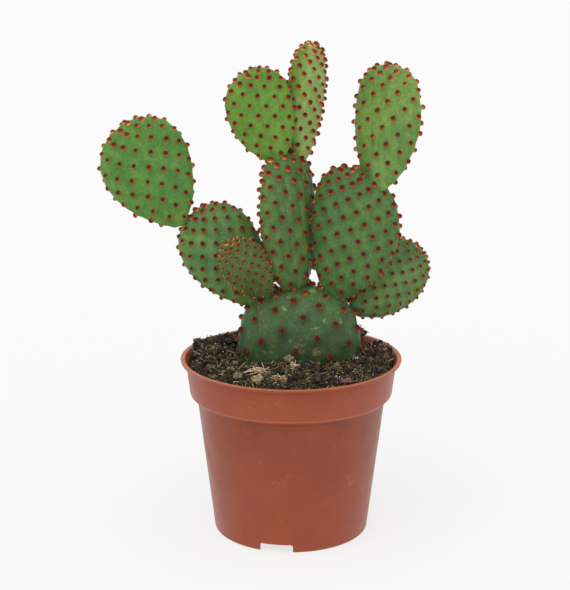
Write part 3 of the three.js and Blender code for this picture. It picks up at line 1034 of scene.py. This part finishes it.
def waxy_skin(name, pad):
    material, tree, shader = new_material(name, {
        "Sheen Weight": 0.2, "Sheen Roughness": 0.3, "Sheen Tint": (0.85, 0.95, 0.82, 1),
        "Specular IOR Level": 0.3,
    })
    young = "top" in name
    drift = grain(tree, 85, 5, 0.6, distortion=0.3)
    green = ramp(tree, drift, (0.32, srgb(*pad["deep"])), (0.66, srgb(*pad["light"])))
    fresh = tinted(pad["light"], 1.12, 1.08, 1.0)
    tipward = ramp(tree, attribute(tree, "along"), (0.0, grey(0)), (0.35, grey(0.35)), (1, grey(1)))
    green = mix(tree, times(tree, tipward, 0.28), green, fresh)
    green = mix(tree, times(tree, attribute(tree, "rim"), 0.3), green, fresh)
    patches = rise(tree, grain(tree, 38, 3, 0.5), 0.42, 0.6)
    yellow = tinted(pad["light"], 1.14, 1.04, 0.8)
    green = mix(tree, times(tree, patches, 0.35 if young else 0.6), green, yellow)

    grown = add(tree, "ShaderNodeAttribute", attribute_name="place").outputs["Vector"]
    grown = vector_math(tree, "MULTIPLY", grown, (1, 1, STREAK_PITCH))
    streaks = add(tree, "ShaderNodeTexNoise", {"Vector": grown, "Scale": 230.0, "Detail": 3.0})
    streaks = ramp(
        tree, streaks.outputs["Fac"], (0.35, (0.86, 0.87, 0.84, 1)), (0.65, (1.14, 1.12, 1.16, 1))
    )
    green = multiply(tree, green, streaks)
    # painted sheen: a pale grey laid over the front side of the pad, where grazing light would show its
    # velvet
    painted_sheen = rise(tree, times(tree, attribute(tree, "side"), -1.0), 0.25, 0.8)
    painted_sheen = times(tree, painted_sheen, pad.get("painted_sheen", 0.0))
    green = mix(tree, painted_sheen, green, tinted(pad["light"], 1.62, 1.36, 2.3))
    # painted shade round each tuft, weaker on the young pads
    tuft_shade = times(tree, attribute(tree, "areole"), 0.2 if young else 0.5)
    green = mix(tree, tuft_shade, green, tinted(pad["deep"], 0.72, 0.72, 0.72))
    mottle = ramp(tree, grain(tree, 520, 5, 0.8), (0.3, (0.64, 0.7, 0.62, 1)), (0.7, (1.34, 1.28, 1.34, 1)))
    green = multiply(tree, green, mottle)
    dots = rise(tree, grain(tree, 1250, 1, 0.3), 0.66, 0.74)
    dots = only_where(tree, dots, 120, 0.45, 0.6)
    green = mix(tree, times(tree, dots, 0.4), green, srgb(176, 178, 128))
    if name == "base_pad":
        green = age_marks_and_painted_shade(tree, green)
    tree.links.new(green, shader.inputs["Base Color"])
    rough = ramp(tree, grain(tree, 260, 3), (0.3, grey(0.5)), (0.7, grey(0.66)))
    tree.links.new(rough, shader.inputs["Roughness"])
    fine = bump(tree, grain(tree, 2200, 2), 0.12, 0.0002)
    tree.links.new(bump(tree, grain(tree, 420, 3), 0.25, 0.0004, fine), shader.inputs["Normal"])
    return material


SKIN_SLOTS = {"base_pad": "old_skin"}
SKIN_SLOTS.update({name: "young_skin" for name in PADS if "top" in name})
for name, pad in PADS.items():
    skin = make_skin(name, pad)
    skin.data.materials.append(waxy_skin(name, pad))
    finish_piece(skin, SKIN_SLOTS.get(name, "mature_skin"), name)

# %% [markdown]
# ## Bristle tufts
# This cactus has no long spines. Every tuft is a dense brush of hair-fine barbed bristles, gold at
# the root, orange-brown along its length and dark maroon at the tips and in the middle, where a
# painted shade darkens it further, and it leans towards the pad's tip. There are over a thousand,
# so a tuft is simple: one tree makes a round heart with a few short, pointed bristles on a
# sunflower spiral. A second tree sets one on every spot of a pad.

# %% Tuft tree
HEART_SHAPE, HEART_LIFT = (1.24, 1.24, 1.16), 0.62  # as shares of the tuft's radius
ROOT_RING, DOME, WOBBLE = 0.85, 0.34, 0.12


def point_along(tree, direction):
    """The rotation that points a shape's own up along a direction."""
    return add(tree, "FunctionNodeAlignRotationToVector", {"Vector": direction}, axis="Z").outputs[0]


def tuft_tree():
    tree, given, result = new_tree(
        "One bristle tuft", Bristles=int, Radius=float, Length=float, Thickness=float, Splay=float,
        Seed=int, Finish=bpy.types.Material,
    )
    radius, splay = given["Radius"], given["Splay"]
    line = add(tree, "GeometryNodeMeshLine", {"Count": given["Bristles"]}).outputs[0]
    number = add(tree, "GeometryNodeInputIndex").outputs[0]
    share = math_node(tree, "DIVIDE", plus(tree, number, 0.5), given["Bristles"])
    out = math_node(tree, "POWER", share, 0.5)
    turn = times(tree, number, 2 * math.pi * GOLDEN_SHARE)
    x, y = (times(tree, out, math_node(tree, way, turn)) for way in ("COSINE", "SINE"))
    root = times(tree, radius, ROOT_RING)
    place = vector(tree, times(tree, x, root), times(tree, y, root))
    spots = add(tree, "GeometryNodeSetPosition", {"Geometry": line, "Position": place}).outputs[0]
    # ring: how far out each bristle stands; the bristle material paints shade on a tuft's middle by it
    spots = keep_attribute(tree, spots, "ring", share)
    wobble = random_value(tree, (-WOBBLE, -WOBBLE, 0), (WOBBLE, WOBBLE, 0), given["Seed"], "FLOAT_VECTOR")
    fan = vector(tree, times(tree, x, splay), times(tree, y, splay), 1.0)
    facing = point_along(tree, vector_math(tree, "ADD", fan, wobble))

    bristle = add(tree, "GeometryNodeMeshCone", {
        "Vertices": 3, "Radius Top": 0.0, "Radius Bottom": given["Thickness"], "Depth": given["Length"]})
    here = add(tree, "GeometryNodeInputPosition").outputs[0]
    height = add(tree, "ShaderNodeSeparateXYZ", {0: here}).outputs["Z"]
    along = math_node(tree, "DIVIDE", height, given["Length"])
    bristle = keep_attribute(tree, bristle.outputs["Mesh"], "along", along)
    uneven = random_value(tree, 0.92, 1.08, plus(tree, given["Seed"], 3.0))
    dome = times(tree, minus(tree, 1.0, times(tree, share, DOME)), uneven)
    brush = add(tree, "GeometryNodeInstanceOnPoints", {
        "Points": spots, "Instance": bristle, "Rotation": facing, "Scale": vector(tree, 1.0, 1.0, dome),
    }).outputs[0]

    heart = add(tree, "GeometryNodeMeshUVSphere", {"Radius": radius, "Segments": 9, "Rings": 5}).outputs[0]
    heart = add(tree, "GeometryNodeSetShadeSmooth", {"Geometry": heart}).outputs[0]
    lift = vector(tree, z=times(tree, radius, HEART_LIFT))
    ins = {"Geometry": heart, "Translation": lift, "Scale": HEART_SHAPE}
    heart = add(tree, "GeometryNodeTransform", ins).outputs[0]
    heart = keep_attribute(tree, heart, "along", along)
    away = vector_math(tree, "LENGTH", vector_math(tree, "MULTIPLY", here, (1, 1, 0)))
    heart = keep_attribute(tree, heart, "ring", math_node(tree, "DIVIDE", away, radius))
    both = add(tree, "GeometryNodeJoinGeometry")
    for part in (heart, brush):
        tree.links.new(part, both.inputs[0])
    close_tree(tree, both.outputs[0], given["Finish"], result)
    return tree

# %% Bristle material
def bristle_material():
    """Gold at the roots and dark maroon at the tips, with a painted shade where the bristles are dense, at
    a tuft's middle, that leaves its edge paler.
    """
    material, tree, shader = new_material("bristles", {
        "Roughness": 0.7, "Specular IOR Level": 0.2, "Sheen Weight": 0.25, "Sheen Roughness": 0.5,
        "Sheen Tint": (1, 0.62, 0.32, 1),
    })
    place = plus(tree, attribute(tree, "along"), 0.42)
    place = minus(tree, place, times(tree, attribute(tree, "tint"), 0.14))
    # painted shade: the middle of each tuft, away from its edge, is darker
    place = minus(tree, place, times(tree, attribute(tree, "ring"), 0.24))
    # golden: young tufts are paler gold; the base pad's old tufts are less gold, and darker still as a
    # painted shade from the pads above
    place = minus(tree, place, times(tree, attribute(tree, "golden"), 0.13), True)
    colour = ramp(
        tree, place, (0.0, srgb(232, 180, 112)), (0.1, srgb(210, 126, 54)), (0.24, srgb(184, 78, 25)),
        (0.46, srgb(146, 54, 16)), (0.68, srgb(104, 31, 9)), (0.9, srgb(70, 16, 6)),
    )
    mottle = ramp(tree, grain(tree, 2600, 2), (0.3, grey(0.75)), (0.7, grey(1.25)))
    tree.links.new(multiply(tree, colour, mottle), shader.inputs["Base Color"])
    return material


bristles = bristle_material()

# %% Tuft shapes to copy
BRISTLES_PER_TUFT = 13
TUFT_RADIUS, BRISTLE_LENGTH, BRISTLE_THICKNESS = 1.0, 2.05, 0.3
tufts = shelf("tufts")
one_tuft = tuft_tree()
for i in range(4):
    shape = grow(
        f"tuft_{i}", one_tuft, bpy.data.meshes.new("seed"), Bristles=BRISTLES_PER_TUFT,
        Radius=TUFT_RADIUS * MM, Length=BRISTLE_LENGTH * MM, Thickness=BRISTLE_THICKNESS * MM,
        Splay=0.34 - 0.04 * i, Seed=i, Finish=bristles,
    )
    put_on_shelf(tufts, shape)
    print("tuft", i, len(shape.data.polygons), "faces")

# %% Tree that sets tufts on a pad
TUFT_TILT, TUFT_SPIN = 0.14, 3.14  # radians, either way
TUFT_TINT_DRAW = 5.0


def stored(tree, name, kind="FLOAT_VECTOR"):
    return add(tree, "GeometryNodeInputNamedAttribute", {"Name": name}, data_type=kind).outputs[0]


def planting_tree():
    tree, given, result = new_tree(
        "Tufts on a pad", Shapes=bpy.types.Collection, Lean=float, Smallest=float, Largest=float, Seed=int,
        Finish=bpy.types.Material,
    )
    ins = {0: stored(tree, "tipward"), "Scale": given["Lean"]}
    leaning = add(tree, "ShaderNodeVectorMath", ins, operation="SCALE").outputs[0]
    facing = point_along(tree, vector_math(tree, "ADD", stored(tree, "outward"), leaning))
    most = (TUFT_TILT, TUFT_TILT, TUFT_SPIN)
    rotation = turn_each(tree, facing, tuple(-angle for angle in most), most, given["Seed"])
    size = random_value(tree, given["Smallest"], given["Largest"], given["Seed"])
    size = times(tree, size, stored(tree, "size", "FLOAT"))
    copies = set_copies(tree, given["Geometry"], given["Shapes"], rotation, size)
    tint_and_close(tree, copies, given, TUFT_TINT_DRAW, result)
    return tree

# %% Plant the tufts
TUFT_SINK = 0.3
TUFTS_START = 0.28  # the foot below this angle grows no tufts
TIP_STARTS = 0.75  # share of the length from which young tips turn golden


def plant_tufts(name, pad, tree, seed):
    angle, u = tuft_spots(pad)
    if name == "base_pad":
        above = pad_surface(pad, angle, u)[:, 2] + pad["foot"][2] > SOIL_LEVEL + 1
        angle, u = angle[above], u[above]
    else:
        angle, u = angle[angle > TUFTS_START], u[angle > TUFTS_START]
    out, up = pad_directions(pad, angle, u)
    spots = pad_surface(pad, angle, u) + out * (SWELLING_HEIGHT * pad["size"] - TUFT_SINK)
    ground = bpy.data.meshes.new("spots")
    ground.from_pydata([tuple(p) for p in to_frame(pad, spots)], [], [])
    store_vectors(ground, "outward", to_frame(pad, out, False))
    store_vectors(ground, "tipward", to_frame(pad, up, False))
    along = spots[:, 2] / pad["length"]
    young_tip = 0.6 * smoothstep(along, TIP_STARTS, 1.0) * (pad["golden"] > 0)
    store(ground, "golden", pad["golden"] + young_tip)
    store(ground, "size", pad["size"] * (1 + 0.25 * young_tip))
    made = grow(
        name + "_tufts", tree, ground, Shapes=tufts, Lean=0.8, Smallest=0.9, Largest=1.12, Seed=seed,
        Finish=bristles,
    )
    return finish_piece(made, "bristles")


planting = planting_tree()
for number, (name, pad) in enumerate(PADS.items()):
    plant_tufts(name, pad, planting, number)

# %% [markdown]
# ## Clods
# Peat holds together in clods where it was heaped up. A clod's body is a ball knocked out of
# round on three scales. The litter that follows is thrown on the clods as well as on the bed, so
# that they end up as rough as the rest.

# %% Clods
CLODS = [  # x, y, size in millimetres, length as a share of size
    (-50, 14, 4.5, 1.15), (-45, 20, 4, 1.2), (-36, 19, 3.4, 2.3), (-29, 31, 4, 1.2), (-53, 4, 3, 1.2),
    (-44, -8, 3.5, 1.2), (-40, 6, 4, 1.3), (-27, 22, 3.5, 1.2), (36, 24, 4.5, 1.1), (49, 9, 4.2, 1.2),
    (52, 2, 3.6, 1.0), (30, 31, 3.5, 1.3), (45, 20, 2.6, 1.6), (12, 44, 4, 1.2), (-6, 45, 4, 1.2),
    (15, -44, 3.5, 1.3), (-30, -27, 3.5, 1.2), (-6, -48, 3, 1.5), (33, -33, 3.5, 1.2), (44, -20, 3.5, 1.2),
    (-20, -20, 3, 1.4), (14, -17, 3, 1.4), (-40, -22, 3, 1.3), (26, -22, 3, 1.3), (38, -8, 4.2, 1.5),
    (4, -34, 3, 1.5), (-12, -33, 3, 1.2), (43, 3, 3.4, 1.2),
]
CLOD_FLATNESS, CLOD_LIFT = 0.62, 0.1
CLOD_LUMPS = ((0.55, 1.1), (0.3, 3), (0.14, 8))  # push, and noise scale


def make_clods():
    points, faces = [], []
    ball_points, ball_faces = ball(4)
    for number, (x, y, size, length) in enumerate(CLODS):
        seed = Vector((number * 5.3, 0, 0))
        low = soil_height(x, y) + CLOD_LIFT * size * length**2
        for p in ball_points:
            push = 1 + sum(share * noise.noise(p * scale + seed) for share, scale in CLOD_LUMPS)
            px, py = x + p.x * size * push * length, y + p.y * size * push
            reach = math.hypot(px, py) / (SOIL_RADIUS + 0.2)
            if reach > 1:
                px, py = px / reach, py / reach
            points.append((POT_X + px * MM, py * MM, (low + p.z * size * push * CLOD_FLATNESS) * MM))
        faces += [tuple(v + number * len(ball_points) for v in face) for face in ball_faces]
    made = mesh_object("peat_clods", points, faces, bed_material)
    store(made.data, "tint", [0.5 + 0.5 * noise.noise(v.co * 300) for v in made.data.vertices])
    return finish_piece(made, "peat")


clods = make_clods()

# %% [markdown]
# ## Litter on the soil
# The litter is thrown only where soil is open to the sky: not through the base pad. The patch
# it falls on is the top of the bed and of the clods, less the faces inside the pad's foot.

# %% Open soil
WALL_MARGIN = 0.8
FOOT_HALF_WIDTH, FOOT_HALF_DEPTH = 32, 17  # the base pad where it enters the soil
BED_BOTTOM = 0.085  # metres


def open_soil():
    """The tops of bed and clods, not under the base pad, and clear of the wall."""
    patch = bmesh.new()
    patch.from_mesh(soil.data)
    patch.from_mesh(clods.data)
    foot_x, foot_y, _ = PADS["base_pad"]["foot"]
    gone = []
    for face in patch.faces:
        middle = face.calc_center_median()
        x, y = (middle.x - POT_X) / MM, middle.y / MM
        away = ((x - foot_x) / FOOT_HALF_WIDTH) ** 2 + ((y - foot_y) / FOOT_HALF_DEPTH) ** 2
        at_wall = math.hypot(x, y) > SOIL_RADIUS - WALL_MARGIN
        if away < 1 or at_wall or face.normal.z < 0.1 or middle.z < BED_BOTTOM:
            gone.append(face)
    bmesh.ops.delete(patch, geom=gone, context="FACES")
    data = bpy.data.meshes.new("open_soil")
    patch.to_mesh(data)
    patch.free()
    return data

# %% Throw the litter
LITTER = [  # name, shapes, per m2, patchiness, smallest, largest (mm), tilt, lift (mm), finish, slot
    ("peat_crumbs", crumbs, 340000, 2.5, 0.3, 1.4, 1.4, 0.0, peat_dark, "peat"),
    ("peat_lumps", crumbs, 30000, 4.0, 0.9, 3.0, 1.4, 0.1, bed_material, "peat"),
    ("peat_shreds", shreds, 56000, 5.0, 0.7, 2.5, 0.5, 0.7, peat_dark, "peat"),
    ("bark_bits", chips, 26000, 3.0, 0.5, 2.4, 0.9, 0.4, bark_brown, "bark"),
    ("root_fibres", fibres, 170000, 5.0, 0.8, 3.0, 0.7, 0.6, root_fibre, "straw"),
    ("long_fibres", fibres, 5000, 3.0, 3.0, 6.5, 0.3, 1.3, straw_gold, "straw"),
    ("tan_shreds", shreds, 56000, 6.0, 0.4, 2.0, 0.6, 0.9, root_fibre, "straw"),
    ("straw_bits", blades, 80000, 7.0, 0.3, 1.5, 0.8, 0.9, straw_gold, "straw"),
    ("pale_grains", grains, 52000, 6.0, 0.2, 0.55, 1.0, 0.6, pale_grain, "pebble"),
]
for seed, (name, shapes, density, patchy, small, large, tilt, lift, finish, slot) in enumerate(LITTER):
    litter = grow(
        name, litter_tree, open_soil(), Shapes=shapes, Density=float(density), Patchiness=patchy,
        Smallest=small * MM, Largest=large * MM, Tilt=tilt, Lift=lift * MM, Seed=seed + 3, Finish=finish,
    )
    finish_piece(litter, slot)

# %% [markdown]
# ## Loose pieces
# The largest pieces on the soil are CAD nodes of their own. Each is made again where its solid
# lies: stones and lumps as knocked balls, the bark chip as a crooked plate, and the straw
# clumps as knots of bent threads around the solid's middle.

# %% Lumps, stones and the bark chip
def middle_of(node):
    low, high = (np.array(corner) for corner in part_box(node))
    return (low + high) / 2, (high - low) / 2


def make_lump(node, finish, slot, seed, knock, share=1.0, lift=0.0):
    """A ball knocked out of round on three scales, in a CAD lump's box or in a share of it."""
    middle, half = middle_of(node)
    half = half * share
    middle[2] += lift * MM
    points, faces = ball(4)
    moved = []
    for p in points:
        push = 0.94
        for strength, scale, shift in ((1.0, 1.2, 0), (0.8, 3.1, 3), (0.4, 7.5, 5)):
            push += strength * knock * noise.noise(p * scale + Vector((seed, shift, 0)))
        moved.append([middle[i] + p[i] * half[i] * push for i in range(3)])
    made = mesh_object(node + "_piece", moved, faces, finish, smooth=True)
    store(made.data, "tint", [0.55 + 0.7 * noise.noise(Vector(p) * 4) for p in points])
    return finish_piece(made, slot, node)


make_lump("bark_chip", bark_pink, "bark", 3.0, 0.6, share=(0.68, 0.68, 0.9), lift=0.9)
make_lump("grey_pebble", grey_stone, "pebble", 9.0, 0.5, share=(0.85, 0.85, 1))
make_lump("front_pebble", grey_stone, "pebble", 14.0, 0.6, share=(0.7, 0.7, 0.9))
make_lump("fibre_lump", crumpled_leaf, "straw", 33.0, 0.75, share=(0.52, 0.52, 0.95), lift=0.4)
make_lump("dark_lump_left", peat_dark, "peat_lump", 21.0, 0.8)
make_lump("dark_lump_front", peat_dark, "peat_lump", 28.0, 0.8)

# %% Straw clumps
def make_clump(node, finish, count, seed, heading, disorder, thick):
    """Torn straw about a CAD lump's middle: strands that run about one way, each bent its own way."""
    middle, half = middle_of(node)
    rng = random.Random(seed)
    points, faces = [], []
    for i in range(count):
        length = rng.uniform(0.35, 0.85) * 2 * max(half[:2])
        path = bent_path(seed * 100 + i, length, rng.uniform(0.3, 1.0), 6)
        way = Matrix.Rotation(math.radians(heading) + rng.gauss(0, disorder), 3, "Z")
        way = way @ Matrix.Rotation(rng.gauss(0, 0.4), 3, "Y")
        offset = Vector([middle[k] + rng.gauss(0, 0.4) * half[k] for k in range(3)])
        radius = rng.uniform(0.5, 1.0) * thick * MM
        strand, strand_faces = thread([way @ p + offset for p in path], radius, 0.5)
        faces += [tuple(v + len(points) for v in face) for face in strand_faces]
        points += strand
    made = mesh_object(node + "_piece", points, faces, finish, smooth=False)
    tints = np.repeat([rng.uniform(0, 1) for _ in range(count)], len(points) // count)
    store(made.data, "tint", tints)
    return finish_piece(made, "straw", node)


make_clump("straw_knot", straw_pale, 14, 2, 70, 0.7, 0.34)
make_clump("straw_wisp", straw_gold, 26, 3, 10, 0.9, 0.28)
make_clump("straw_tangle", straw_pale, 26, 4, -20, 0.5, 0.3)

# %% Clear the shelves and finish
for collection in (crumbs, grains, chips, shreds, fibres, blades, tufts):
    for shape in list(collection.objects):
        bpy.data.objects.remove(shape)
    bpy.data.collections.remove(collection)

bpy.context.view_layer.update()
